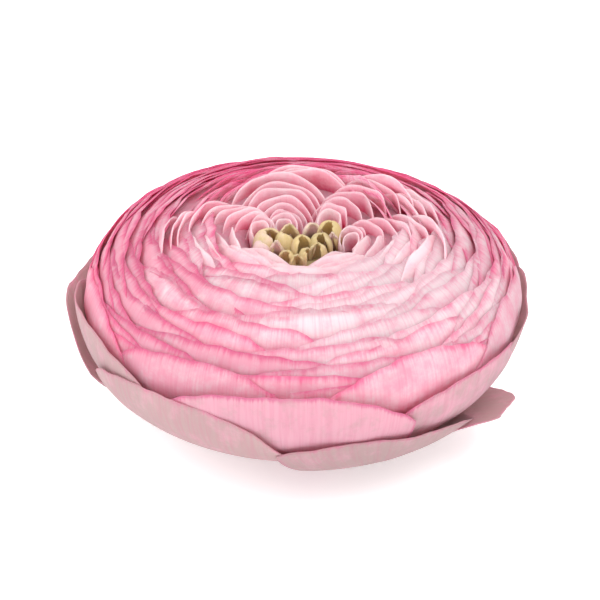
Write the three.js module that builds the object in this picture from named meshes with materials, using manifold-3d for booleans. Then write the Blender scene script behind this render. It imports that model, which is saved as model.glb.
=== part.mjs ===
// Ranunculus bloom: a wide, flattened double flower, cut just below the calyx. Millimetres, +Z up.
// The origin is on the surface it rests on, under the middle of its width and depth. The viewer is at -Y.
// From below: a stub of stem with five sepals, the broad pale guard petals, the close pink petals of the bowl
// with the upright inner petals round its pit, and the small green petals of the heart.
import * as THREE from "three";
import { mergeVertices } from "three/addons/utils/BufferGeometryUtils.js";
import Module from "manifold-3d";

const wasm = await Module();
wasm.setup();

// Driving dimensions
const AXIS = [1.03, 0.38]; // where the flower's own axis stands, because the guard petals reach out unevenly
const BOWL_RADIUS = 43.8; // of the circle on which the lowest pink rims lie
const BOWL_WAIST = 28.5; // height of the widest part
const CROWN_RISE = 14.5; // from the waist to the crown of the rims
const SHOULDER = 0.7; // below 1 squares the shoulder of the bloom
const PETAL_THICKNESS = 0.7;
const BOWL_PETALS = 78;
const GOLDEN_ANGLE = 137.508;
const FRONT = -122; // azimuth of the first bowl petal
const PETAL_ROOT = 4; // radius at which the petals leave the middle
const CORE_DEPTH = 1.8; // how far the core lies under the rims
const CORE_FLOOR = 6.6;
const STEM_RADIUS = 3;
const PITH_RADIUS = 1.2;
const PITH_DEPTH = 2;
const RECEPTACLE_RADIUS = 5.8;
const RECEPTACLE_TOP = 3.1;
const GUARD_SEAT = 8.5; // radius of the disc that joins the guard petals
const HEART_RADIUS = 9;
const HEART_NARROWING = 0.7; // the pit is this much narrower from front to back than it is wide
const HEART_FLOOR = 33.6;
const PIT_SIDES = 15;
const HEART_CENTRE = [-1, -3.2];
const GAP = 0.35; // between neighbouring pieces
const SKY = 60; // above everything

const radians = THREE.MathUtils.degToRad;

// A repeatable number from 0 to 1 for petal i, and the same from -1 to 1. Trait tells one use from another.
function chance(i, trait) {
  const s = Math.sin(i * 12.9898 + trait * 78.233) * 43758.5453;
  return s - Math.floor(s);
}

function swing(i, trait) {
  return 2 * chance(i, trait) - 1;
}

function smooth(low, high, x) {
  const t = Math.min(1, Math.max(0, (x - low) / (high - low)));
  return t * t * (3 - 2 * t);
}

function bezier(a, b, c, d, t) {
  const s = 1 - t;
  return s * s * s * a + 3 * s * s * t * b + 3 * s * t * t * c + t * t * t * d;
}

function polar(radius, degrees, height) {
  return new THREE.Vector3(radius * Math.cos(radians(degrees)), radius * Math.sin(radians(degrees)), height);
}

// The crown: where the rims lie, as an angle above the waist in degrees.
function crown(angle, inset = 0) {
  const a = radians(angle);
  return [(BOWL_RADIUS - inset) * Math.cos(a) ** SHOULDER, BOWL_WAIST + (CROWN_RISE - inset) * Math.sin(a)];
}

// A petal's midline is a cubic in the (radius, height) plane: root, belly, a handle under the rim, the rim.
// Half is half its width in degrees. Lean is the slope at the rim: 90 is upright, and less leans inwards.
// In shape, drop and power round the rim off, lip and tuck roll its edge, claw is the width of its root and
// flare how far up it widens, and centre is the axis that it stands round.
function petal(azimuth, half, rim, lean, reach, belly, root, shape) {
  const handle = [rim[0] + reach * Math.cos(radians(lean)), rim[1] - reach * Math.sin(radians(lean))];
  return {
    ...{ azimuth, half, line: [root, belly, handle, rim], drop: 0.3, power: 3, lip: 0.5, tuck: 0.9 },
    ...{ wave: 0.5, phase: 0, skew: 0, claw: 0.5, flare: 0.6, centre: [0, 0], ...shape },
  };
}

function midline(p, axis, t) {
  return bezier(...p.line.map((point) => point[axis]), t);
}

// The point of a petal at u across, from -1 to 1, and w along, from 0 at the root to 1 at the rim.
function pointOn(p, u, w) {
  const side = Math.abs(u);
  const t = w * (1 - p.drop * side ** p.power + p.skew * u + 0.012 * Math.sin(7 * u + p.phase));
  const ruffle = p.wave * w ** 5;
  const radius = midline(p, 0, t) + p.lip * w ** 9 - p.tuck * side ** 3 * w * w +
    ruffle * Math.sin(2.6 * Math.PI * u + p.phase);
  const height = midline(p, 1, t) + 0.5 * ruffle * Math.cos(2.2 * Math.PI * u + 1.7 * p.phase);
  const width = p.claw + (1 - p.claw) * smooth(0, p.flare, w);
  const point = polar(radius, p.azimuth + p.half * u * width, height);
  return point.add(new THREE.Vector3(...p.centre, 0));
}

function solid(geometry) {
  const bare = geometry.index ? geometry.toNonIndexed() : geometry.clone();
  bare.deleteAttribute("normal");
  bare.deleteAttribute("uv");
  const merged = mergeVertices(bare, 1e-4);
  const mesh = new wasm.Mesh({
    numProp: 3,
    vertProperties: merged.attributes.position.array,
    triVerts: new Uint32Array(merged.index.array),
  });
  return new wasm.Manifold(mesh);
}

// A petal from w = start up, as a closed blade: a face on each side of its surface and a wall round the edge.
// Both faces are split alike. Below the rim the inner face gains swell times the thickness, which
// lets a petal that lies close on the core run into it.
function blade(p, columns, rows, { start = 0, swell = 0, thickness = PETAL_THICKNESS } = {}) {
  const step = 1e-3;
  const places = [];
  for (const side of [0.5, -0.5]) {
    for (let r = 0; r <= rows; r++) {
      for (let c = 0; c <= columns; c++) {
        const u = -1 + (2 * c) / columns;
        const w = start + ((1 - start) * r) / rows;
        const across = pointOn(p, u + step, w).sub(pointOn(p, u - step, w));
        const along = pointOn(p, u, w + step).sub(pointOn(p, u, w - step));
        const out = across.cross(along).normalize();
        const inner = side < 0 ? swell * (1 - r / rows) : 0;
        places.push(pointOn(p, u, w).addScaledVector(out, (side - inner) * thickness));
      }
    }
  }
  const width = columns + 1;
  const layer = width * (rows + 1);
  const faces = [];
  for (let r = 0; r < rows; r++) {
    for (let c = 0; c < columns; c++) {
      const a = r * width + c;
      const b = a + layer;
      faces.push([a, a + 1, a + width + 1], [a, a + width + 1, a + width]);
      faces.push([b, b + width + 1, b + 1], [b, b + width, b + width + 1]);
    }
  }
  const edge = [];
  for (let c = 0; c < columns; c++) edge.push(c);
  for (let r = 0; r < rows; r++) edge.push(r * width + columns);
  for (let c = columns; c > 0; c--) edge.push(rows * width + c);
  for (let r = rows; r > 0; r--) edge.push(r * width);
  edge.forEach((a, k) => {
    const b = edge[(k + 1) % edge.length];
    faces.push([a, a + layer, b + layer], [a, b + layer, b]);
  });
  const corners = new Float32Array(faces.flat().flatMap((k) => places[k].toArray()));
  return solid(new THREE.BufferGeometry().setAttribute("position", new THREE.BufferAttribute(corners, 3)));
}

// A solid of revolution about +Z from an outline of [radius, height] points
function turned(outline, sides, centre = [0, 0]) {
  const points = outline.map(([radius, height]) => new THREE.Vector2(radius, height));
  return solid(new THREE.LatheGeometry(points, sides).rotateX(Math.PI / 2).translate(...centre, 0));
}

// Joins the pieces in pairs, then fills the small hollows that joining seals, and drops loose scraps
function fuse(pieces) {
  let layer = pieces;
  while (layer.length > 1) {
    const joined = [];
    for (let k = 0; k + 1 < layer.length; k += 2) joined.push(layer[k].add(layer[k + 1]));
    if (layer.length % 2) joined.push(layer.at(-1));
    layer = joined;
  }
  return largest(layer[0]);
}

function largest(shape) {
  return shape.decompose().reduce((a, b) => (b.volume() > a.volume() ? b : a));
}

// How deep a point lies inside an outline of [radius, height] points, negative where it is outside
function depthIn(outline, radius, height) {
  let nearest = Infinity;
  let crossings = 0;
  for (let k = 0; k + 1 < outline.length; k++) {
    const [r0, z0] = outline[k];
    const [r1, z1] = outline[k + 1];
    const along = ((radius - r0) * (r1 - r0) + (height - z0) * (z1 - z0)) / ((r1 - r0) ** 2 + (z1 - z0) ** 2);
    const t = Math.min(1, Math.max(0, along));
    nearest = Math.min(nearest, Math.hypot(radius - r0 - t * (r1 - r0), height - z0 - t * (z1 - z0)));
    if (z0 > height !== z1 > height && radius < r0 + ((height - z0) / (z1 - z0)) * (r1 - r0)) crossings++;
  }
  return crossings % 2 ? nearest : -nearest;
}

// The furthest place along a petal at which its whole width is still sunk in the core
function sunkUpTo(p, outline) {
  const sunk = 0.3;
  let start = 0;
  for (let w = 0.05; w < 0.95; w += 0.01) {
    const places = [-1, -0.5, 0, 0.5, 1].map((u) => pointOn(p, u, w));
    if (places.every((point) => depthIn(outline, Math.hypot(point.x, point.y), point.z) > sunk)) start = w;
  }
  return start;
}

// Stem and sepals: a cut, pithy stub that widens into the receptacle, and five sepals that lie on the ground
function stemAndSepals() {
  const neck = RECEPTACLE_RADIUS - 0.9;
  const stub = turned(
    [
      [0, PITH_DEPTH], [PITH_RADIUS, PITH_DEPTH], [PITH_RADIUS, 0], [STEM_RADIUS, 0],
      [STEM_RADIUS + 0.3, 0.8], [neck, 1.6], [RECEPTACLE_RADIUS, 2.3], [RECEPTACLE_RADIUS, 2.7],
      [neck, RECEPTACLE_TOP], [0, RECEPTACLE_TOP],
    ],
    20,
  );
  const shape = { drop: 0.42, power: 2, lip: 0, tuck: 0.4, wave: 0.1, claw: 0.75 };
  const pieces = [stub];
  for (let k = 0; k < 5; k++) {
    const rim = [17 + 0.8 * swing(k, 21), 0.35];
    const azimuth = 72 * k + 20 + 4 * swing(k, 20);
    const sepal = petal(azimuth, 25, rim, 170, 4, [8, 1.25], [2.4, 1.5], { ...shape, phase: k });
    pieces.push(blade(sepal, 4, 3, { thickness: 0.9 }));
  }
  const ground = solid(new THREE.BoxGeometry(60, 60, 10).translate(0, 0, -5));
  return fuse(pieces).subtract(ground);
}

// Guard petals: the broad pale outer petals, listed anticlockwise from the right
// azimuth, half width, rim radius and height, lean, reach, belly radius and height, and level at the root
const GUARDS = [
  [38, 35, 46.3, 29, 90, 10, 44.6, 2.2, 1],
  [80, 36, 46.4, 28.5, 90, 10, 44.4, 3, 2],
  [122, 33, 46.6, 27.5, 90, 10, 44.2, 1.6, 1],
  [162, 34, 49, 23.8, 108, 11, 44.6, 2.8, 2],
  [198, 36, 46.6, 29.5, 88, 9, 43.8, 2.2, 1],
  [233, 33, 47.2, 25.8, 88, 8, 42.3, 3.2, 0, { drop: 0.42, power: 3.6 }],
  [265, 34, 46.9, 30.8, 86, 9, 44.6, 2.6, 3, { drop: 0.3, power: 3, tuck: -0.1 }],
  [297, 34, 45.2, 17.6, 112, 7, 37.5, 0.4, 0, { lip: 0.4, power: 3.6, skew: -0.18, claw: 0.35, flare: 1 }],
  [331, 15, 47.4, 12.8, 160, 8, 34, 4.4, 1, { drop: 0.35, power: 1.8, skew: 0.05, wave: 0.4 }],
  [320, 32, 46.2, 27.2, 98, 8, 43.1, 3, 2, { drop: 0.3, power: 2.4, wave: 0.25 }],
  [356, 35, 46.4, 26.8, 103, 9, 42, 3.4, 2],
];
const LOWEST_GUARD = 4;
const GUARD_LEVEL = 0.5;

function guardPetal(row) {
  const [azimuth, half, rimRadius, rimHeight, lean, reach, bellyRadius, bellyHeight, level, shape] = row;
  const root = [PETAL_ROOT, LOWEST_GUARD + GUARD_LEVEL * level];
  const form = { lip: 0.2, tuck: 0.2, wave: 0.35, phase: azimuth, ...shape };
  return petal(azimuth, half, [rimRadius, rimHeight], lean, reach, [bellyRadius, bellyHeight], root, form);
}

function guardPetals() {
  const floor = RECEPTACLE_TOP + GAP;
  const top = CORE_FLOOR - GAP;
  const seat = turned([[0, floor], [GUARD_SEAT, floor], [GUARD_SEAT, top], [0, top]], 20);
  return fuse([seat, ...GUARDS.map((row) => blade(guardPetal(row), 5, 4, { start: 0.04 }))]);
}

// Bowl petals: a spiral at the golden angle, from the lowest outer rim up over the shoulder to the pit.
// The youngest ones stand up behind the pit and lie over in front of it.
function bowlPetal(i) {
  const t = i / (BOWL_PETALS - 1);
  const azimuth = GOLDEN_ANGLE * i + 6 * swing(i, 2) + FRONT;
  const behind = smooth(-0.3, 0.9, Math.sin(radians(azimuth)));
  const young = smooth(0.6, 1, t);
  const angle = 9.5 + 65.5 * t ** 0.92 + 1.6 * swing(i, 1);
  const rim = crown(angle);
  const next = crown(angle + 1);
  const slope = THREE.MathUtils.radToDeg(Math.atan2(next[1] - rim[1], rim[0] - next[0]));
  rim[0] += 0.3 * (1 - t) ** 4;
  rim[1] += 2 * behind * young + 0.05 * rim[0] * behind * Math.max(0, -Math.cos(radians(azimuth)));
  const lean = slope + 4 + 4 * t + young * (6 + 46 * behind);
  const half = 39 + 8 * swing(i, 3) + 6 * young;
  const belly = [42 * (1 - t) + 25 * t, 6.5 + 4 * t];
  const root = [PETAL_ROOT, 7.2 + 6 * t];
  const shape = { drop: 0.2 + 0.06 * young, power: 3.2 - 0.4 * young, lip: 0, tuck: 0.2, wave: 0.2 };
  shape.skew = 0.1 * swing(i, 5);
  shape.phase = 2 * Math.PI * chance(i, 4);
  return petal(azimuth, half, rim, lean, 9 + 5 * t, belly, root, shape);
}

// Inner petals: cupped petals in nested fans round the pit, upright behind it and leaning over it in front.
// Each fan has a middle of its own, and its petals change evenly from the first to the last.
// petals, then for the first and the last: middle's x and y, radius, azimuth, half width, rim height, lean
const FANS = [
  [6, [-3.8, 2.2, 3.4, 92, 96, 43, 84], [-4.8, 7.2, 8.8, 94, 80, 45.4, 72]],
  [3, [0.5, 8.5, 9.6, 86, 60, 45.3, 70], [-0.5, 8, 11.8, 88, 54, 45, 64]],
  [6, [5.6, 3.8, 3, 68, 100, 43.6, 84], [10.5, 7.5, 11.2, 44, 60, 45, 70]],
  [3, [11, 1, 12.6, 38, 38, 43.8, 74], [11, 1, 16, 36, 34, 43.6, 66]],
  [6, [9.8, -2.8, 2.8, 65, 86, 42.8, 84], [15, -6, 13, 25, 50, 43.2, 70]],
  [6, [-8.6, 0.4, 2.4, 90, 94, 43, 84], [-13, -0.5, 9.5, 140, 64, 43.8, 72]],
  [3, [-14, -2, 10.6, 155, 46, 43.4, 70], [-14.5, -3, 13.5, 168, 40, 43, 60]],
  [4, [-2, -1, 11.8, 196, 36, 42.6, 64], [-3, -1, 19, 200, 32, 42.8, 46]],
  [4, [0, 0, 11.2, 232, 38, 41.8, 42], [0, 0, 16.5, 226, 36, 42.6, 28]],
  [2, [0, 0, 14.5, 266, 36, 42.2, 30], [0, 0, 16.5, 262, 36, 42.4, 26]],
  [4, [1, -1, 8.6, 298, 40, 41.4, 42], [1, -1, 15, 292, 40, 42.4, 28]],
  [5, [3, -1, 9.6, 332, 34, 42.2, 56], [4, -1, 20.5, 338, 30, 42.8, 40]],
];

function innerPetal(fan, k) {
  const [petals, first, last] = FANS[fan];
  const j = 20 * fan + k;
  const share = k / (petals - 1);
  const row = first.map((value, n) => THREE.MathUtils.lerp(value, last[n], share));
  const [x, y, radius, azimuth, half, height, lean] = row;
  const shape = { drop: 0.3, power: 3, skew: 0.03 * swing(j, 46), tuck: 0, lip: 0.3, wave: 0.1, claw: 0.7 };
  shape.phase = 1.7 * j;
  shape.centre = [x, y];
  const rim = [radius + 0.2 * swing(j, 43), height + 0.3 * swing(j, 41)];
  const belly = [radius + 2.4, 30];
  const root = [0.6 * radius, 22];
  return petal(azimuth + 5 * swing(j, 42), half, rim, lean + 4 * swing(j, 44), 7, belly, root, shape);
}

// Pink petals: the bowl and inner petals, on a core of packed petal bases that only shows between them
function pinkPetals() {
  const outline = [[0, CORE_FLOOR], [14, CORE_FLOOR], [25, 8.2], [32, 11], [36.6, 15.4], [39.4, 21]];
  for (let angle = 0; angle <= 60; angle += 12) outline.push(crown(angle, CORE_DEPTH));
  outline.push([19, 40.4], [13, 39.4], [10.5, 38.6], [8.4, 37], [0, 37]);
  const pieces = [turned(outline, 28)];
  FANS.forEach(([petals], fan) => {
    for (let k = 0; k < petals; k += 3) {
      const p = innerPetal(fan, k);
      pieces.push(blade(p, 4, 2, { start: sunkUpTo(p, outline), swell: 4 }));
    }
  });
  for (let i = 0; i < BOWL_PETALS; i++) {
    const p = bowlPetal(i);
    pieces.push(blade(p, 4, 2, { start: sunkUpTo(p, outline), swell: 12 }));
  }
  const pit = [[0, HEART_FLOOR], [HEART_RADIUS, HEART_FLOOR], [HEART_RADIUS, SKY], [0, SKY]];
  return largest(fuse(pieces).subtract(inPit(turned(pit, PIT_SIDES))));
}

// Heart petals: small green petals, each curled over like a hood, round a dark well on a low cushion
// x and y of the middle, azimuth, half width, radius, rim height and lean
const HEART = [
  [-6, 0.4, 150, 140, 3, 43, 12], [-1.8, 1.8, 95, 85, 2.3, 43.6, 55], [-2.8, 0.2, 230, 120, 1.7, 42.6, 8],
  [0.8, -1.2, 120, 120, 2, 42.6, 25], [6.4, 2.6, 60, 130, 2.3, 43.6, 10],
  [4.6, -0.6, 100, 140, 2.1, 42.6, 10], [4, -2.8, 60, 120, 1.6, 41.6, 12],
  [1.8, -3.6, 160, 110, 1.4, 41, 15], [-2.4, -4.4, 60, 110, 1.4, 40.9, 15],
  [-0.2, -5.2, 100, 110, 1.2, 40.4, 15], [3, 3, 95, 100, 1.9, 43, 25],
  [-7.2, -1.6, 200, 120, 1.9, 41.8, 20], [-4.4, -3.3, 95, 70, 1.9, 42.7, 75],
  [7, -0.2, 95, 60, 1.9, 42.8, 75],
];

function heartPetal([x, y, azimuth, half, radius, height, lean], j) {
  const shape = { drop: 0.22, power: 2.4, lip: 0, tuck: 0.1, wave: 0.08, claw: 0.8, phase: j };
  shape.centre = [HEART_CENTRE[0] + x, HEART_CENTRE[1] + y];
  const rim = [0.3 + 0.25 * radius, height];
  const belly = [radius + 0.9, height - 3.2];
  return petal(azimuth, half, rim, lean, 0.8 * radius, belly, [0.7 * radius, 36], shape);
}

// Brings a shape that stands round the axis to the heart, and narrows it as the pit is
function inPit(shape) {
  return shape.scale([1, HEART_NARROWING, 1]).translate([...HEART_CENTRE, 0]);
}

function heartPetals() {
  const reach = HEART_RADIUS - GAP / HEART_NARROWING;
  const floor = HEART_FLOOR + GAP;
  const well = 35.6;
  const cushion = [[0, floor], [reach, floor], [reach, 37.2], [5.6, 38], [3.4, 37.4], [2.4, well], [0, well]];
  const room = [[0, floor], [reach, floor], [reach, SKY], [0, SKY]];
  const petals = HEART.map((row, j) => blade(heartPetal(row, j), row[4] > 2.5 ? 4 : 3, 2, { start: 0.15 }));
  const pieces = fuse([inPit(turned(cushion, PIT_SIDES)), ...petals]);
  return largest(pieces.intersect(inPit(turned(room, PIT_SIDES))));
}

// The bloom
const bloom = new THREE.Group();

function add(name, shape, color, roughness) {
  const mesh = shape.getMesh();
  const geometry = new THREE.BufferGeometry()
    .setAttribute("position", new THREE.BufferAttribute(mesh.vertProperties, 3))
    .setIndex(new THREE.BufferAttribute(mesh.triVerts, 1));
  geometry.computeVertexNormals();
  const piece = new THREE.Mesh(geometry, new THREE.MeshStandardMaterial({ color, roughness, metalness: 0 }));
  piece.name = name;
  bloom.add(piece);
}

add("stem_and_sepals", stemAndSepals(), 0x8a9a55, 0.7);
add("guard_petals", guardPetals(), 0xdcb4bc, 0.6);
add("pink_petals", pinkPetals(), 0xf2b2c8, 0.6);
add("heart_petals", heartPetals(), 0xb9b26a, 0.6);
bloom.position.set(...AXIS, 0);

export default bloom;
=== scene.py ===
# Ranunculus bloom, built from the stem up: sepals, guard petals, bowl, inner petals, heart and the studio.
# Shapes are worked out in millimetres about the flower's own axis and turned into metres for each mesh.
import math

import bpy
import numpy as np
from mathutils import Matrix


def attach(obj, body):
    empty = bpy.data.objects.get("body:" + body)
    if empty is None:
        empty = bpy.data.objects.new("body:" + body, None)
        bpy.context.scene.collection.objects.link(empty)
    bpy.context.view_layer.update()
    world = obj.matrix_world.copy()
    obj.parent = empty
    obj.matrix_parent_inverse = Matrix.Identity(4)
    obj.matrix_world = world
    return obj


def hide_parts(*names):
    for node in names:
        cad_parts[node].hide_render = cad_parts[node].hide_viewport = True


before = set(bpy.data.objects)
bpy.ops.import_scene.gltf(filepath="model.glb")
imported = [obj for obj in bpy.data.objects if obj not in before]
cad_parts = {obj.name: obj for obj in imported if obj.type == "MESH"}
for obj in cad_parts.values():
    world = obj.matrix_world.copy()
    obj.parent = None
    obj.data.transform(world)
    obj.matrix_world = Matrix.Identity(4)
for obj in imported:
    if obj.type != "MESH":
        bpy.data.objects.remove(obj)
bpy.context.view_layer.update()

# Stem and sepals
# The flower stalk, cut square under the bloom, swells into a receptacle that all the petals are fixed to.
# Five thin green sepals with papery edges grow from it. Here they lie on the table under the guard petals.
MILLIMETRE = 0.001
AXIS = (1.03, 0.38)  # the flower's own axis, in the frame
STEM_RADIUS = 3.0
PITH_RADIUS = 1.2
PITH_DEPTH = 2.0
RECEPTACLE_RADIUS = 5.8
RECEPTACLE_TOP = 3.1
SEPALS = 5
SEPAL_RADIUS = 17.0
SEPAL_THICKNESS = 0.9
# that colour includes the painted shade that petals take below their rims
FAR_FROM_RIM = 9.0  # a solid without a rim takes the colour that a petal has this far below its own


def chance(i, trait):
    """A repeatable number from 0 to 1 for petal i. Trait tells one use from another."""
    s = math.sin(i * 12.9898 + trait * 78.233) * 43758.5453
    return s - math.floor(s)


def swing(i, trait):
    """A repeatable number from -1 to 1."""
    return 2 * chance(i, trait) - 1


def smooth(low, high, x):
    """Eases from 0 at low to 1 at high."""
    t = np.clip((x - low) / (high - low), 0, 1)
    return t * t * (3 - 2 * t)


def petal(azimuth, half, rim, lean, reach, belly, root, **shape):
    """A petal by its midline, a cubic curve through (radius, height) from the root past the belly to the rim.

    Azimuth and half width are in degrees round the centre, and lean is the slope of the rim in degrees.
    Drop and power round the rim off, skew tilts it, lip rolls it out and wave ruffles it. Tuck draws the
    sides in, crumple folds the face, and claw and flare narrow the root. Rank is 0 for pale, 1 for flushed,
    and it also sets how much painted shade and margin the petal shows.
    """
    slope = math.radians(lean)
    handle = (rim[0] + reach * math.cos(slope), rim[1] - reach * math.sin(slope))
    form = dict(azimuth=azimuth, half=half, line=np.array([root, belly, handle, rim], float))
    form.update(centre=(0, 0), drop=0.3, power=3, skew=0, lip=0, tuck=0.2, wave=0.2, claw=0.5, flare=0.6)
    form.update(crumple=0.15, nick=0.006, rank=0.0)
    form.update(shape)
    return form


def on_midline(p, t):
    a, b, c, d = p["line"]
    t = np.asarray(t)[..., None]
    s = 1 - t
    return s ** 3 * a + 3 * s * s * t * b + 3 * s * t * t * c + t ** 3 * d


def on_petal(p, u, w):
    """Points at u across, from -1 to 1, and w along, from 0 at the root to 1 at the rim."""
    side = np.abs(u)
    phase = p["phase"]
    # the rim drops towards the sides, or to one of them, and has shallow nicks
    nicks = p["nick"] * (np.sin(17 * u + 3 * phase) + 0.7 * np.sin(31 * u + 5 * phase))
    t = w * (1 - p["drop"] * side ** p["power"] + p["skew"] * u + 0.012 * np.sin(7 * u + phase) + nicks)
    line = on_midline(p, t)
    # it rolls out in the middle, tucks in at the sides and is ruffled
    ruffle = p["wave"] * w ** 5
    radius = line[..., 0] + p["lip"] * w ** 9 - p["tuck"] * side ** 3 * w * w
    radius = radius + ruffle * np.sin(2.6 * math.pi * u + phase)
    height = line[..., 1] + 0.5 * ruffle * np.cos(2.2 * math.pi * u + 1.7 * phase)
    # the face is softly folded, and the petal narrows to a claw at its root
    folds = np.sin(9 * u + 4 * w + 2 * phase) * np.sin(5 * w - 3 * u + phase)
    folds = folds + 0.5 * np.sin(16 * u - 7 * w + 4 * phase)
    radius = radius + p["crumple"] * folds * smooth(0.4, 0.95, w)
    spread = p["claw"] + (1 - p["claw"]) * smooth(0, p["flare"], w)
    angle = np.radians(p["azimuth"] + p["half"] * u * spread)
    x = radius * np.cos(angle) + p["centre"][0]
    y = radius * np.sin(angle) + p["centre"][1]
    return np.stack([x, y, height + 0 * x], -1)


def blade(p, columns, rows, start, thickness):
    """A closed thin petal: two faces, the wall between them, and what its material needs at each point."""
    # columns crowd towards the sides and rows towards the rim, which is about half as thick as the rest
    crowding = math.pi / 2 * 0.92
    across = np.sin(np.linspace(-1, 1, columns + 1) * crowding) / math.sin(crowding)
    along = start + (1 - start) * np.linspace(0, 1, rows + 1) ** 0.8
    u, w = np.meshgrid(across, along)
    step = 1e-3
    du = on_petal(p, u + step, w) - on_petal(p, u - step, w)
    dw = on_petal(p, u, w + step) - on_petal(p, u, w - step)
    out = np.cross(du, dw)
    out /= np.maximum(np.linalg.norm(out, axis=-1, keepdims=True), 1e-12)
    middle = on_petal(p, u, w)
    thin = thickness * (1 - 0.45 * smooth(0.8, 1, w))[..., None]
    outer, inner = middle + out * thin / 2, middle - out * thin / 2
    points = np.concatenate([outer.reshape(-1, 3), inner.reshape(-1, 3)])
    # how far each point lies from the rim and from the nearer side
    up = np.linalg.norm(np.diff(middle, axis=0), axis=-1)
    to_rim = np.vstack([np.cumsum(up[::-1], axis=0)[::-1], np.zeros((1, columns + 1))])
    over = np.linalg.norm(np.diff(middle, axis=1), axis=-1)
    from_left = np.hstack([np.zeros((rows + 1, 1)), np.cumsum(over, axis=1)])
    to_side = np.minimum(from_left, from_left[:, -1:] - from_left)
    # the ring of points round the edge carries the wall
    wide = columns + 1
    layer = wide * (rows + 1)
    corner = (np.arange(rows)[:, None] * wide + np.arange(columns)).ravel()
    front = np.stack([corner, corner + 1, corner + wide + 1, corner + wide], 1)
    ring = list(range(columns)) + [r * wide + columns for r in range(rows)]
    ring += [rows * wide + c for c in range(columns, 0, -1)] + [r * wide for r in range(rows, 0, -1)]
    ring = np.array(ring)
    after = np.roll(ring, -1)
    wall = np.stack([ring, ring + layer, after + layer, after], 1)
    faces = np.concatenate([front, front[:, ::-1] + layer, wall])
    facts = {
        "across": np.tile((u.ravel() + 1) / 2, 2), "along": np.tile(w.ravel(), 2),
        "edge_mm": np.tile(np.minimum(to_rim, to_side).ravel(), 2), "rim_mm": np.tile(to_rim.ravel(), 2),
        "tone": np.full(2 * layer, p["tone"]), "rank": np.full(2 * layer, p["rank"]),
    }
    return points, faces, facts


def turned(outline, sides):
    """A closed solid of revolution from an outline of (radius, height) points from axis to axis."""
    rings = outline[1:-1]
    angles = np.arange(sides) * 2 * math.pi / sides
    points = [[0, 0, outline[0][1]]]
    points += [[r * math.cos(a), r * math.sin(a), z] for r, z in rings for a in angles]
    points.append([0, 0, outline[-1][1]])
    faces = []
    for k in range(sides):
        n = (k + 1) % sides
        faces.append([0, 1 + n, 1 + k, 1 + k])
        for j in range(len(rings) - 1):
            a = 1 + j * sides
            faces.append([a + k, a + n, a + sides + n, a + sides + k])
        a = 1 + (len(rings) - 1) * sides
        faces.append([a + k, a + n, len(points) - 1, len(points) - 1])
    points = np.array(points, float)
    angle = np.arctan2(points[:, 1], points[:, 0]) / (2 * math.pi) + 0.5
    blank = np.zeros(len(points))
    facts = {"across": angle, "along": blank, "tone": blank + 0.5, "rank": blank}
    facts["edge_mm"] = facts["rim_mm"] = blank + FAR_FROM_RIM
    return points, np.array(faces), facts


def make_piece(name, shells, material, slot, *nodes):
    """Joins closed shells into one object in metres, hangs it in the frame and lets it stand for its node."""
    points, faces, count = [], [], 0
    for shell_points, shell_faces, _ in shells:
        points.append(shell_points)
        faces.append(shell_faces + count)
        count += len(shell_points)
    points = (np.concatenate(points) + [AXIS[0], AXIS[1], 0]) * MILLIMETRE
    loops = [list(dict.fromkeys(face)) for face in np.concatenate(faces).tolist()]
    mesh = bpy.data.meshes.new(name)
    mesh.from_pydata(points.tolist(), [], loops)
    facts = {key: np.concatenate([shell[2][key] for shell in shells]) for key in shells[0][2]}
    for key in ("edge_mm", "rim_mm", "tone", "rank"):
        mesh.attributes.new(key, "FLOAT", "POINT").data.foreach_set("value", facts[key].astype(np.float32))
    corners = np.empty(len(mesh.loops), np.int32)
    mesh.loops.foreach_get("vertex_index", corners)
    place = np.stack([facts["across"][corners], facts["along"][corners]], 1)
    mesh.uv_layers.new(name="petal").data.foreach_set("uv", place.ravel().astype(np.float32))
    mesh.polygons.foreach_set("use_smooth", [True] * len(mesh.polygons))
    mesh.materials.append(material)
    mesh.validate()
    piece = bpy.data.objects.new(name, mesh)
    bpy.context.scene.collection.objects.link(piece)
    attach(piece, "root")
    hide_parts(*nodes)


def tint(code):
    """A colour given as six hexadecimal digits, as linear red, green, blue and alpha."""
    parts = [int(code[k:k + 2], 16) / 255 for k in (0, 2, 4)]
    return tuple(((c + 0.055) / 1.055) ** 2.4 if c > 0.04045 else c / 12.92 for c in parts) + (1.0,)


def new_material(name):
    material = bpy.data.materials.new(name)
    material.use_nodes = True
    material.node_tree.nodes.clear()
    return material, material.node_tree


def node(tree, kind, **values):
    """A shader node, with settings and values of its inputs by name."""
    made = tree.nodes.new(kind)
    for key, value in values.items():
        if hasattr(made, key):
            setattr(made, key, value)
        else:
            made.inputs[key.replace("_", " ")].default_value = value
    return made


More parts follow.
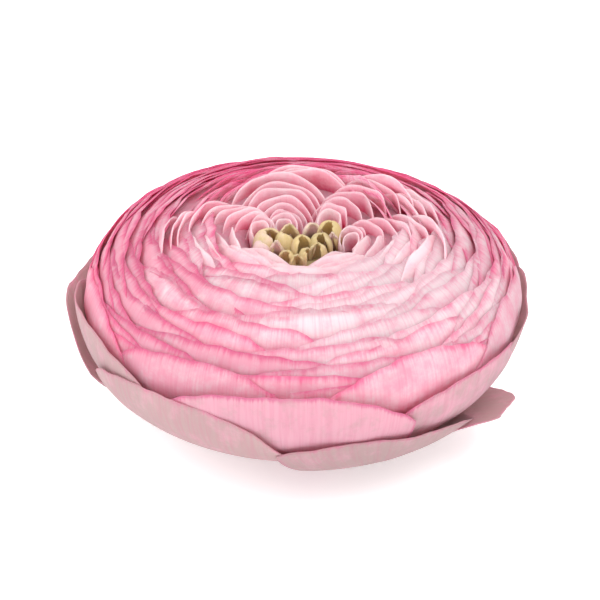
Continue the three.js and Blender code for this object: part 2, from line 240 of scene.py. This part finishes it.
def petal_tissue():
    """The shared look of petals and sepals: fine veins from root to rim, a coloured margin, mottling and
    painted shade below the rim.
    """
    group = bpy.data.node_groups.new("petal_tissue", "ShaderNodeTree")
    for label in ("Pale", "Blush", "Painted Shade", "Margin"):
        group.interface.new_socket(label, in_out="INPUT", socket_type="NodeSocketColor")
    for label in (
        "Shade From", "Shade To", "Margin Width", "Margin Strength", "Vein Strength", "Vein Count",
        "Tone Spread",
    ):
        group.interface.new_socket(label, in_out="INPUT", socket_type="NodeSocketFloat")
    group.interface.new_socket("Color", in_out="OUTPUT", socket_type="NodeSocketColor")
    group.interface.new_socket("Height", in_out="OUTPUT", socket_type="NodeSocketFloat")
    group.interface.new_socket("Roughness", in_out="OUTPUT", socket_type="NodeSocketFloat")
    link = group.links.new
    given = node(group, "NodeGroupInput")
    result = node(group, "NodeGroupOutput")
    place = node(group, "ShaderNodeUVMap", uv_map="petal")
    split = node(group, "ShaderNodeSeparateXYZ")
    link(place.outputs[0], split.inputs[0])
    tone = node(group, "ShaderNodeAttribute", attribute_name="tone")
    rank = node(group, "ShaderNodeAttribute", attribute_name="rank")
    below = node(group, "ShaderNodeAttribute", attribute_name="rim_mm")
    edge = node(group, "ShaderNodeAttribute", attribute_name="edge_mm")

    # veins are noise drawn out along the petal, with a pattern of its own on each
    fan = node(group, "ShaderNodeMath", operation="MULTIPLY")
    link(split.outputs["X"], fan.inputs[0])
    link(given.outputs["Vein Count"], fan.inputs[1])
    length = node(group, "ShaderNodeMath", operation="MULTIPLY")
    length.inputs[1].default_value = 2.0
    link(split.outputs["Y"], length.inputs[0])
    shift = node(group, "ShaderNodeMath", operation="MULTIPLY")
    shift.inputs[1].default_value = 57.0
    link(tone.outputs["Fac"], shift.inputs[0])
    strand = node(group, "ShaderNodeCombineXYZ")
    for source, axis in ((fan, "X"), (length, "Y"), (shift, "Z")):
        link(source.outputs[0], strand.inputs[axis])
    veins = node(group, "ShaderNodeTexNoise", Scale=1.0, Detail=3.0, Roughness=0.65)
    link(strand.outputs[0], veins.inputs["Vector"])
    vein_mask = node(group, "ShaderNodeMapRange", interpolation_type="SMOOTHSTEP")
    vein_mask.inputs["From Min"].default_value = 0.42
    vein_mask.inputs["From Max"].default_value = 0.66
    link(veins.outputs[0], vein_mask.inputs["Value"])

    solid = node(group, "ShaderNodeTexCoord")
    blotches = node(group, "ShaderNodeTexNoise", Scale=160.0, Detail=4.0, Roughness=0.6)
    link(solid.outputs["Object"], blotches.inputs["Vector"])

    # the coloured margin, whose inner side runs into the veins
    wander = node(group, "ShaderNodeMath", operation="MULTIPLY_ADD")
    wander.inputs[1].default_value = -2.4
    link(veins.outputs[0], wander.inputs[0])
    link(edge.outputs["Fac"], wander.inputs[2])
    lifted = node(group, "ShaderNodeMath", operation="ADD")
    lifted.inputs[1].default_value = 1.2
    link(wander.outputs[0], lifted.inputs[0])
    margin = node(group, "ShaderNodeMapRange", interpolation_type="SMOOTHSTEP")
    margin.inputs["To Min"].default_value = 1.0
    margin.inputs["To Max"].default_value = 0.0
    link(given.outputs["Margin Width"], margin.inputs["From Max"])
    link(lifted.outputs[0], margin.inputs["Value"])

    def times(first, second):
        product = node(group, "ShaderNodeMath", operation="MULTIPLY")
        link(first, product.inputs[0])
        link(second, product.inputs[1])
        return product.outputs[0]

    # ShaderNodeMix keeps one set of sockets for each data type, and the colour set comes third
    def blend_colour(first, second, factor):
        mix = node(group, "ShaderNodeMix", data_type="RGBA")
        link(factor, mix.inputs[0])
        link(first, mix.inputs[6])
        link(second, mix.inputs[7])
        return mix.outputs[2]

    # pale or flushed, in patches, with painted shade down the petal below its rim, where the petals outside
    # it shade it
    shade = node(group, "ShaderNodeMapRange", interpolation_type="SMOOTHSTEP")
    link(below.outputs["Fac"], shade.inputs["Value"])
    link(given.outputs["Shade From"], shade.inputs["From Min"])
    link(given.outputs["Shade To"], shade.inputs["From Max"])
    patches = node(group, "ShaderNodeTexNoise", Scale=220.0, Detail=6.0, Roughness=0.7)
    link(solid.outputs["Object"], patches.inputs["Vector"])
    patchy = node(group, "ShaderNodeMapRange")
    patchy.inputs["From Min"].default_value = 0.3
    patchy.inputs["From Max"].default_value = 0.7
    patchy.inputs["To Min"].default_value = -0.6
    patchy.inputs["To Max"].default_value = 0.6
    link(patches.outputs[0], patchy.inputs["Value"])
    flush = node(group, "ShaderNodeMath", operation="ADD", use_clamp=True)
    link(rank.outputs["Fac"], flush.inputs[0])
    link(patchy.outputs[0], flush.inputs[1])
    young = blend_colour(given.outputs["Pale"], given.outputs["Blush"], flush.outputs[0])
    fading = node(group, "ShaderNodeMapRange")
    fading.inputs["To Min"].default_value = 0.25
    link(flush.outputs[0], fading.inputs["Value"])
    face = blend_colour(young, given.outputs["Painted Shade"], times(shade.outputs[0], fading.outputs[0]))
    threads = times(vein_mask.outputs[0], given.outputs["Vein Strength"])
    veined = blend_colour(face, given.outputs["Margin"], threads)
    seam = times(times(margin.outputs[0], given.outputs["Margin Strength"]), fading.outputs[0])
    rimmed = blend_colour(veined, given.outputs["Margin"], seam)
    level = node(group, "ShaderNodeMapRange")
    level.inputs["To Min"].default_value = 1.0
    link(tone.outputs["Fac"], level.inputs["Value"])
    spread = node(group, "ShaderNodeMath", operation="SUBTRACT")
    spread.inputs[0].default_value = 1.0
    link(given.outputs["Tone Spread"], spread.inputs[1])
    link(spread.outputs[0], level.inputs["To Max"])
    toned = node(group, "ShaderNodeHueSaturation")
    link(level.outputs[0], toned.inputs["Value"])
    link(rimmed, toned.inputs["Color"])
    link(toned.outputs[0], result.inputs["Color"])

    relief = node(group, "ShaderNodeMath", operation="MULTIPLY_ADD")
    relief.inputs[1].default_value = 0.35
    link(blotches.outputs[0], relief.inputs[0])
    link(veins.outputs[0], relief.inputs[2])
    link(relief.outputs[0], result.inputs["Height"])
    rough = node(group, "ShaderNodeMapRange")
    rough.inputs["To Min"].default_value = 0.48
    rough.inputs["To Max"].default_value = 0.7
    link(veins.outputs[0], rough.inputs["Value"])
    link(rough.outputs[0], result.inputs["Roughness"])
    return group


TISSUE = petal_tissue()


def petal_material(name, pale, blush, painted_shade, reach, margin, width, strength, veins, count, spread, glow):
    """A thin living petal: a satin face with fine relief, which lets part of the light through."""
    material, tree = new_material(name)
    link = tree.links.new
    tissue = node(tree, "ShaderNodeGroup", node_tree=TISSUE)
    for label, value in (
        ("Pale", tint(pale)), ("Blush", tint(blush)), ("Painted Shade", tint(painted_shade)), ("Shade From", reach[0]),
        ("Shade To", reach[1]), ("Margin", tint(margin)), ("Margin Width", width),
        ("Margin Strength", strength), ("Vein Strength", veins), ("Vein Count", count),
        ("Tone Spread", spread),
    ):
        tissue.inputs[label].default_value = value
    bump = node(tree, "ShaderNodeBump", Strength=0.35, Distance=0.00025)
    link(tissue.outputs["Height"], bump.inputs["Height"])
    skin = node(tree, "ShaderNodeBsdfPrincipled")
    skin.inputs["Specular IOR Level"].default_value = 0.28
    skin.inputs["Sheen Weight"].default_value = 0.12
    skin.inputs["Sheen Roughness"].default_value = 0.5
    link(tissue.outputs["Color"], skin.inputs["Base Color"])
    link(tissue.outputs["Roughness"], skin.inputs["Roughness"])
    link(bump.outputs[0], skin.inputs["Normal"])
    through = node(tree, "ShaderNodeBsdfTranslucent")
    link(tissue.outputs["Color"], through.inputs["Color"])
    link(bump.outputs[0], through.inputs["Normal"])
    both = node(tree, "ShaderNodeMixShader")
    both.inputs[0].default_value = glow
    link(skin.outputs[0], both.inputs[1])
    link(through.outputs[0], both.inputs[2])
    output = node(tree, "ShaderNodeOutputMaterial")
    link(both.outputs[0], output.inputs["Surface"])
    return material


calyx_green = petal_material(
    "calyx_green", pale="8E9C58", blush="6F8242", painted_shade="6F8242", reach=(4, 12), margin="C9C79A", width=0.8,
    strength=0.7, veins=0.3, count=26, spread=0.15, glow=0.12,
)
neck = RECEPTACLE_RADIUS - 0.9
stub = [
    (0, PITH_DEPTH), (PITH_RADIUS, PITH_DEPTH), (PITH_RADIUS, 0), (STEM_RADIUS, 0),
    (STEM_RADIUS + 0.3, 0.8), (neck, 1.6), (RECEPTACLE_RADIUS, 2.3), (RECEPTACLE_RADIUS, 2.7),
    (neck, RECEPTACLE_TOP), (0, RECEPTACLE_TOP),
]
shells = [turned(stub, sides=48)]
for k in range(SEPALS):
    rim = (SEPAL_RADIUS + 0.8 * swing(k, 21), 0.35)
    azimuth = 360 / SEPALS * k + 20 + 4 * swing(k, 20)
    sepal = petal(
        azimuth, half=25, rim=rim, lean=170, reach=4, belly=(8, 1.25), root=(2.4, 1.5), drop=0.42, power=2,
        tuck=0.4, wave=0.1, phase=k, claw=0.75, crumple=0.05, tone=chance(k, 22),
    )
    points, faces, facts = blade(sepal, columns=16, rows=18, start=0.1, thickness=SEPAL_THICKNESS)
    points[:, 2] = np.maximum(points[:, 2], 0)
    shells.append((points, faces, facts))
make_piece("calyx", shells, calyx_green, "green_calyx", "stem_and_sepals")

# Guard petals
# The oldest, outermost petals of the flower: broad, thin and pale greyish pink, the grey partly their
# own colour and partly painted shade.
# They grow from the receptacle one over another. At the front one has opened out low, with a tip beside it.
GUARD_THICKNESS = 0.45
LOWEST_GUARD = 4.0
GUARD_LEVEL = 0.5  # how much higher the roots of each level lie
PETAL_ROOT = 4.0  # how far from the axis petals are fixed
# azimuth, half width, rim radius and height, lean, reach, belly radius and height, and level at the root
GUARDS = [
    (38, 35, 46.3, 29, 90, 10, 44.6, 2.2, 1, {}),
    (80, 36, 46.4, 28.5, 90, 10, 44.4, 3, 2, {}),
    (122, 33, 46.6, 27.5, 90, 10, 44.2, 1.6, 1, {}),
    (162, 34, 49, 23.8, 108, 11, 44.6, 2.8, 2, {}),
    (198, 36, 46.6, 29.5, 88, 9, 43.8, 2.2, 1, {}),
    (233, 33, 47.2, 25.8, 88, 8, 42.3, 3.2, 0, dict(drop=0.42, power=3.6)),
    (265, 34, 46.9, 30.8, 86, 9, 44.6, 2.6, 3, dict(tuck=-0.1, rank=1)),
    (297, 34, 45.2, 17.6, 112, 7, 37.5, 0.4, 0, dict(lip=0.4, power=3.6, skew=-0.18, claw=0.35, flare=1)),
    (331, 15, 47.4, 12.8, 160, 8, 34, 4.4, 1, dict(drop=0.35, power=1.8, skew=0.05, wave=0.4)),
    (320, 32, 46.2, 27.2, 98, 8, 43.1, 3, 2, dict(power=2.4, wave=0.25, rank=0.6)),
    (356, 35, 46.4, 26.8, 103, 9, 42, 3.4, 2, {}),
]
# the grey of the pale colour is partly painted shade, and the deeper pink from 24 to 44 mm below the rims is
# painted shade too
guard_pink = petal_material(
    "guard_pink", pale="D2B6B6", blush="EFC0CE", painted_shade="E9B3C6", reach=(24, 44), margin="E07FA6", width=1.2,
    strength=0.9, veins=0.2, count=80, spread=0.1, glow=0.5,
)
shells = []
for k, (azimuth, half, rim_r, rim_z, lean, reach, belly_r, belly_z, level, extra) in enumerate(GUARDS):
    form = dict(lip=0.2, wave=0.35, phase=azimuth, crumple=0.12, tone=chance(k, 30))
    form.update(extra)
    root = (PETAL_ROOT, LOWEST_GUARD + GUARD_LEVEL * level)
    guard = petal(azimuth, half, (rim_r, rim_z), lean, reach, (belly_r, belly_z), root, **form)
    shells.append(blade(guard, columns=44, rows=32, start=0.02, thickness=GUARD_THICKNESS))
make_piece("guards", shells, guard_pink, "pale_petal", "guard_petals")

# Bowl petals
# The many close petals that make the flattened globe, thin as paper and pressed on each other like shingles.
# They follow a spiral at the golden angle up to the shoulder. Their margins hold the deepest pink.
BOWL_RADIUS = 43.8
BOWL_WAIST = 28.5
CROWN_RISE = 14.5
SHOULDER = 0.7  # 1 would make the crown an ellipse, and less makes it fuller
BOWL_PETALS = 78
GOLDEN_ANGLE = 137.508
FIRST_AZIMUTH = -122
BOWL_ROOT = 7.2  # height of the lowest roots
BOWL_THICKNESS = 0.25
RAISED = 0.05  # how much the rims at the back left are raised, as a share of their radius
CORE_DEPTH = 1.8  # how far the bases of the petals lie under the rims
CORE_RAISED = 0.06
CORE_RANK = 0.9


def crown(angle, inset=0.0):
    """Where the rims lie, as an angle above the waist in degrees."""
    a = math.radians(angle)
    return (BOWL_RADIUS - inset) * math.cos(a) ** SHOULDER, BOWL_WAIST + (CROWN_RISE - inset) * math.sin(a)


def crown_slope(angle):
    """How steeply the crown falls outwards there, in degrees."""
    rim_r, rim_z = crown(angle)
    next_r, next_z = crown(angle + 1)
    return math.degrees(math.atan2(next_z - rim_z, rim_r - next_r))


def bowl_petal(i):
    """Petal i of the spiral, from the oldest, 0, up to the pit. Halves lie between two of the solids."""
    t = i / (BOWL_PETALS - 1)
    azimuth = GOLDEN_ANGLE * i + 6 * swing(i, 2) + FIRST_AZIMUTH
    young = float(smooth(0.6, 1, t))
    behind = float(smooth(-0.3, 0.9, math.sin(math.radians(azimuth))))
    left = -math.cos(math.radians(azimuth))
    right = math.cos(math.radians(azimuth + 35))
    angle = 9.5 + 65.5 * t ** 0.92 + 1.6 * swing(i, 1)
    rim_r, rim_z = crown(angle)
    rim_r += 0.3 * (1 - t) ** 4
    rim_z += 2.0 * behind * young + RAISED * rim_r * behind * max(0.0, left)
    lean = crown_slope(angle) + 4 + 4 * t + young * (6 + 46 * behind)
    belly = (42 * (1 - t) + 25 * t, 6.5 + 4 * t)
    root = (PETAL_ROOT, BOWL_ROOT + 6 * t)
    # the outer petals are more flushed; the rank is also raised at the back and left as painted shade, and
    # lowered at the front right, where the key light falls, as painted light
    rank = 1.0 - 0.75 * t + 0.35 * max(behind, left) - 0.7 * max(0.0, right) ** 3 + 0.2 * swing(i, 36)
    return petal(
        azimuth, half=39 + 8 * swing(i, 3) + 6 * young, rim=(rim_r, rim_z), lean=lean, reach=9 + 5 * t,
        belly=belly, root=root, drop=0.2 + 0.06 * young, power=3.2 - 0.4 * young, skew=0.1 * swing(i, 5),
        phase=2 * math.pi * chance(i, 4), tone=chance(i, 31), rank=rank,
    )


# the deeper pink from 5 to 14 mm below each rim is painted shade, where the petals outside it cover it
bowl_pink = petal_material(
    "bowl_pink", pale="FCF3F5", blush="FACBDB", painted_shade="FBBFD3", reach=(5.0, 14.0), margin="F26EA8", width=1.7,
    strength=0.75, veins=0.16, count=90, spread=0.08, glow=0.62,
)
# at the front, the lower petals of the bowl lie far apart and have none between them
between = [i + 0.5 for i in range(BOWL_PETALS - 1)]
between = [i for i in between if i > 44 or math.sin(math.radians(GOLDEN_ANGLE * i + FIRST_AZIMUTH)) > -0.3]
# the bases of the petals are one solid under the crown, with the pit open in the middle
outline = [(0, 30), (38, 24)] + [crown(angle, CORE_DEPTH) for angle in range(0, 61, 6)]
outline += [(19, 40.4), (13.5, 39.8), (11.2, 38), (10.8, 33), (0, 33)]
points, faces, facts = turned(outline, sides=96)
# it is raised with the rims at the back left
around = np.arctan2(points[:, 1], points[:, 0])
raised = smooth(-0.3, 0.9, np.sin(around)) * np.maximum(0, -np.cos(around)) * smooth(28, 40, points[:, 2])
points[:, 2] += CORE_RAISED * np.hypot(points[:, 0], points[:, 1]) * raised
# the core shows only in the slits between the rims, so it is flushed to take more of the painted shade there
facts["rank"] = facts["rank"] + CORE_RANK
shells = [(points, faces, facts)]
for i in [*range(BOWL_PETALS), *between]:
    shells.append(blade(bowl_petal(i), columns=26, rows=11, start=0.35, thickness=BOWL_THICKNESS))
# the outermost petals of the bowl are broader and rounder: azimuth, half width, crown angle and rank
BROAD_PROUD = 0.85  # how far they lie outside the crown
# their rank is lowest at the right, where the key light falls, as painted light, and highest at the left and
# back left as painted shade
BROAD = [
    (-119, 31, 20, 0.8), (-58, 30, 23, 0.65), (-168, 29, 19, 0.9), (-14, 28, 20, 0.5), (32, 30, 18, 0.7),
    (84, 30, 19, 0.8), (140, 30, 18, 0.9),
]
for k, (azimuth, half, angle, rank) in enumerate(BROAD):
    rim_r, rim_z = crown(angle)
    broad = petal(
        azimuth, half, rim=(rim_r + BROAD_PROUD, rim_z), lean=crown_slope(angle) + 1, reach=10.3,
        belly=(43.4, 6.5), root=(PETAL_ROOT, BOWL_ROOT), power=2.6, tuck=0.1, wave=0.15, phase=1.3 * k,
        tone=chance(k, 37), rank=rank,
    )
    shells.append(blade(broad, columns=30, rows=12, start=0.35, thickness=BOWL_THICKNESS))
make_piece("bowl", shells, bowl_pink, "pink_petal", "pink_petals")

# Inner petals
# Younger, paler petals round the pit of the flower, folded into one another in nested fans.
# Behind the pit they stand upright, and in front they lean over it. Their roots are in the same receptacle.
INNER_THICKNESS = 0.45
UPRIGHT_FANS = 7
# how many petals, then for the first and the last of them: x and y of the middle, radius, azimuth,
# half width, rim height and lean
FANS = [
    (6, (-3.8, 2.2, 3.4, 92, 96, 43, 84), (-4.8, 7.2, 8.8, 94, 80, 45.4, 72)),
    (3, (0.5, 8.5, 9.6, 86, 60, 45.3, 70), (-0.5, 8, 11.8, 88, 54, 45, 64)),
    (6, (5.6, 3.8, 3, 68, 100, 43.6, 84), (10.5, 7.5, 11.2, 44, 60, 45, 70)),
    (3, (11, 1, 12.6, 38, 38, 43.8, 74), (11, 1, 16, 36, 34, 43.6, 66)),
    (6, (9.8, -2.8, 2.8, 65, 86, 42.8, 84), (15, -6, 13, 25, 50, 43.2, 70)),
    (6, (-8.6, 0.4, 2.4, 90, 94, 43, 84), (-13, -0.5, 9.5, 140, 64, 43.8, 72)),
    (3, (-14, -2, 10.6, 155, 46, 43.4, 70), (-14.5, -3, 13.5, 168, 40, 43, 60)),
    (4, (-2, -1, 11.8, 196, 36, 42.6, 64), (-3, -1, 19, 200, 32, 42.8, 46)),
    (4, (0, 0, 11.2, 232, 38, 41.8, 42), (0, 0, 16.5, 226, 36, 42.6, 28)),
    (2, (0, 0, 14.5, 266, 36, 42.2, 30), (0, 0, 16.5, 262, 36, 42.4, 26)),
    (4, (1, -1, 8.6, 298, 40, 41.4, 42), (1, -1, 15, 292, 40, 42.4, 28)),
    (5, (3, -1, 9.6, 332, 34, 42.2, 56), (4, -1, 20.5, 338, 30, 42.8, 40)),
]


def inner_petal(fan, k):
    """Petal k of a fan, from the youngest, 0, outwards."""
    petals, first, last = FANS[fan]
    j = 20 * fan + k
    share = k / (petals - 1)
    x, y, radius, azimuth, half, height, lean = [a + (b - a) * share for a, b in zip(first, last)]
    rim = (radius + 0.2 * swing(j, 43), height + 0.3 * swing(j, 41))
    # the upright fans behind the pit are flushed more, which also gives them more painted shade in their
    # gaps; the fans in front stay pale
    flush_and_shade = 0.45 if fan < UPRIGHT_FANS else 0.1
    return petal(
        azimuth + 5 * swing(j, 42), half, rim=rim, lean=lean + 4 * swing(j, 44), reach=7,
        belly=(radius + 2.4, 30), root=(0.6 * radius, 22), centre=(x, y), skew=0.03 * swing(j, 46), lip=0.3,
        tuck=0, wave=0.1, claw=0.7, phase=1.7 * j, crumple=0.04, nick=0.001, tone=chance(j, 32),
        rank=flush_and_shade + 0.3 * chance(j, 34),
    )


# the magenta from 0.8 to 5 mm below each rim is painted shade in the gaps between the fans
inner_pink = petal_material(
    "inner_pink", pale="FDEEF1", blush="FACDDA", painted_shade="EE5F96", reach=(0.8, 5.0), margin="FDF1F3", width=0.6,
    strength=0.5, veins=0.12, count=50, spread=0.06, glow=0.6,
)
shells = []
for fan, (petals, _, _) in enumerate(FANS):
    for k in range(petals):
        shells.append(blade(inner_petal(fan, k), columns=54, rows=14, start=0.5, thickness=INNER_THICKNESS))
# petals rolled up in the hollows of the fans: x and y, radius, azimuth, half width, rim height and lean
ROLLED = [
    (9.8, -2.4, 1.9, 80, 140, 42.5, 74), (10.0, -3.0, 1.1, 60, 150, 42.0, 66),
    (-8.8, 0.2, 1.5, 100, 140, 42.7, 74), (5.4, 3.6, 1.9, 75, 130, 43.2, 76),
    (-3.9, 2.4, 2.2, 90, 130, 42.8, 76), (-3.9, 2.0, 1.2, 90, 150, 42.3, 66),
]
for j, (x, y, radius, azimuth, half, height, lean) in enumerate(ROLLED):
    roll = petal(
        azimuth, half, rim=(radius, height), lean=lean, reach=3, belly=(radius + 0.8, 38),
        root=(0.7 * radius, 35), centre=(x, y), lip=0.2, tuck=0, wave=0.08, claw=0.8, phase=2.1 * j,
        crumple=0.03, nick=0.001, tone=chance(j, 35), rank=0.3,
    )
    shells.append(blade(roll, columns=40, rows=12, start=0.3, thickness=INNER_THICKNESS))
make_piece("inner", shells, inner_pink, "pink_petal", "pink_petals")

# Heart petals
# The youngest petals, still small, thick and olive green, a few of them pinkish, curled over a dark well.
# The dark brown lower down the lobes and on the cushion is painted shade.
# They sit on a low oval cushion in the pit, which is the tip of the receptacle.
PIT_RADIUS = 9.0
PIT_NARROWING = 0.7  # from front to back, as a share of the width
PIT_FLOOR = 33.6
PIT_CENTRE = (-1.0, -3.2)
GAP = 0.35  # between the cushion and the wall and floor of the pit
WELL_FLOOR = 35.6
HEART_THICKNESS = 0.6
# x and y from the middle, azimuth, half width, radius, rim height and lean, then 0 for green and 1 for pink
HEART = [
    (-6, 0.4, 150, 140, 3, 43, 12, 0.15), (-1.8, 1.8, 95, 85, 2.3, 43.6, 55, 0.3),
    (-2.8, 0.2, 230, 120, 1.7, 42.6, 8, 0), (0.8, -1.2, 120, 120, 2, 42.6, 25, 0),
    (6.4, 2.6, 60, 130, 2.3, 43.6, 10, 0), (4.6, -0.6, 100, 140, 2.1, 42.6, 10, 0.1),
    (4, -2.8, 60, 120, 1.6, 41.6, 12, 0), (1.8, -3.6, 160, 110, 1.4, 41, 15, 0),
    (-2.4, -4.4, 60, 110, 1.4, 40.9, 15, 0), (-0.2, -5.2, 100, 110, 1.2, 40.4, 15, 0),
    (3, 3, 95, 100, 1.9, 43, 25, 0.9), (-7.2, -1.6, 200, 120, 1.9, 41.8, 20, 0.9),
    (-4.4, -3.3, 95, 70, 1.9, 42.7, 75, 1.4), (7, -0.2, 95, 60, 1.9, 42.8, 75, 1.4),
]
# the dark brown from 2.4 to 5.5 mm below the rims, and on the cushion, is painted shade in the well
heart_green = petal_material(
    "heart_green", pale="E4CF96", blush="FBDDDF", painted_shade="6A5020", reach=(2.4, 5.5), margin="F6E9C6", width=0.5,
    strength=0.6, veins=0.25, count=22, spread=0.15, glow=0.4,
)
wide = PIT_RADIUS - GAP / PIT_NARROWING
bottom = PIT_FLOOR + GAP
cushion = [(0, bottom), (wide, bottom), (wide, 37.2), (5.6, 38), (3.4, 37.4)]
cushion += [(2.4, WELL_FLOOR), (0, WELL_FLOOR)]
points, faces, facts = turned(cushion, sides=40)
shells = [(points * [1, PIT_NARROWING, 1] + [PIT_CENTRE[0], PIT_CENTRE[1], 0], faces, facts)]
for j, (x, y, azimuth, half, radius, height, lean, blush) in enumerate(HEART):
    lobe = petal(
        azimuth, half, rim=(0.15 + 0.12 * radius, height), lean=lean, reach=0.8 * radius,
        belly=(radius + 0.9, height - 3.2), root=(0.7 * radius, 36),
        centre=(PIT_CENTRE[0] + x, PIT_CENTRE[1] + y), drop=0.22, power=2.4, tuck=0.1, phase=j, claw=0.8,
        crumple=0.12, nick=0.008, tone=chance(j, 33), rank=blush,
    )
    shells.append(blade(lobe, columns=24, rows=16, start=0.1, thickness=HEART_THICKNESS))
make_piece("heart", shells, heart_green, "green_petal", "heart_petals")

# Studio
# The bloom lies on a large sheet of white paper that glows a little, between white walls. A soft light hangs
# high at the right, with others in front and at the left, and the camera looks down from the front.
PAPER_GLOW = 0.35
WALL_GLOW = 1.24
ELEVATION = 31.5
CAMERA_DISTANCE = 0.75
SENSOR_WIDTH = 36
FRAME_WIDTH = 0.1242  # what the picture shows at the distance of the bloom
LOOK_AT = (0.00041, 0.00034, 0.0248)
bpy.ops.mesh.primitive_plane_add(size=6, location=(0, 0, -0.0002))
paper = bpy.context.object
paper.name = "paper"
paper_white, tree = new_material("paper_white")
grain = node(tree, "ShaderNodeTexNoise", Scale=900.0, Detail=3.0)
fibre = node(tree, "ShaderNodeBump", Strength=0.04, Distance=0.0002)
tree.links.new(grain.outputs[0], fibre.inputs["Height"])
card = node(tree, "ShaderNodeBsdfPrincipled", Roughness=0.8)
card.inputs["Base Color"].default_value = (0.92, 0.92, 0.92, 1)
card.inputs["Emission Color"].default_value = (1, 1, 1, 1)
card.inputs["Emission Strength"].default_value = PAPER_GLOW
tree.links.new(fibre.outputs[0], card.inputs["Normal"])
tree.links.new(card.outputs[0], node(tree, "ShaderNodeOutputMaterial").inputs["Surface"])
paper.data.materials.append(paper_white)


def soft_light(name, size, power, place):
    """A square white light that faces the bloom."""
    lamp = bpy.data.lights.new(name, "AREA")
    lamp.size = size
    lamp.energy = power
    holder = bpy.data.objects.new(name, lamp)
    bpy.context.scene.collection.objects.link(holder)
    holder.location = place
    direction = holder.location.copy()
    direction.negate()
    holder.rotation_euler = direction.to_track_quat("-Z", "Y").to_euler()


soft_light("key", size=0.5, power=2.8, place=(0.3, -0.2, 0.8))
soft_light("front", size=0.6, power=1.2, place=(0.0, -0.95, 0.2))
soft_light("left", size=0.5, power=2.4, place=(-0.65, -0.1, 0.55))
world = bpy.data.worlds.new("white_walls")
world.use_nodes = True
walls = world.node_tree.nodes["Background"]
walls.inputs["Color"].default_value = (1, 1, 1, 1)
walls.inputs["Strength"].default_value = WALL_GLOW
bpy.context.scene.world = world
bpy.context.scene.cycles.max_bounces = 24
bpy.context.scene.cycles.diffuse_bounces = 16
bpy.context.scene.cycles.transmission_bounces = 16
bpy.context.scene.view_settings.view_transform = "Standard"

camera = bpy.data.objects.new("camera", bpy.data.cameras.new("camera"))
bpy.context.scene.collection.objects.link(camera)
tilt = math.radians(ELEVATION)
camera.location = (
    LOOK_AT[0], LOOK_AT[1] - CAMERA_DISTANCE * math.cos(tilt), LOOK_AT[2] + CAMERA_DISTANCE * math.sin(tilt),
)
camera.rotation_euler = (math.pi / 2 - tilt, 0, 0)
camera.data.sensor_width = SENSOR_WIDTH
camera.data.lens = SENSOR_WIDTH * CAMERA_DISTANCE / FRAME_WIDTH
bpy.context.scene.camera = camera
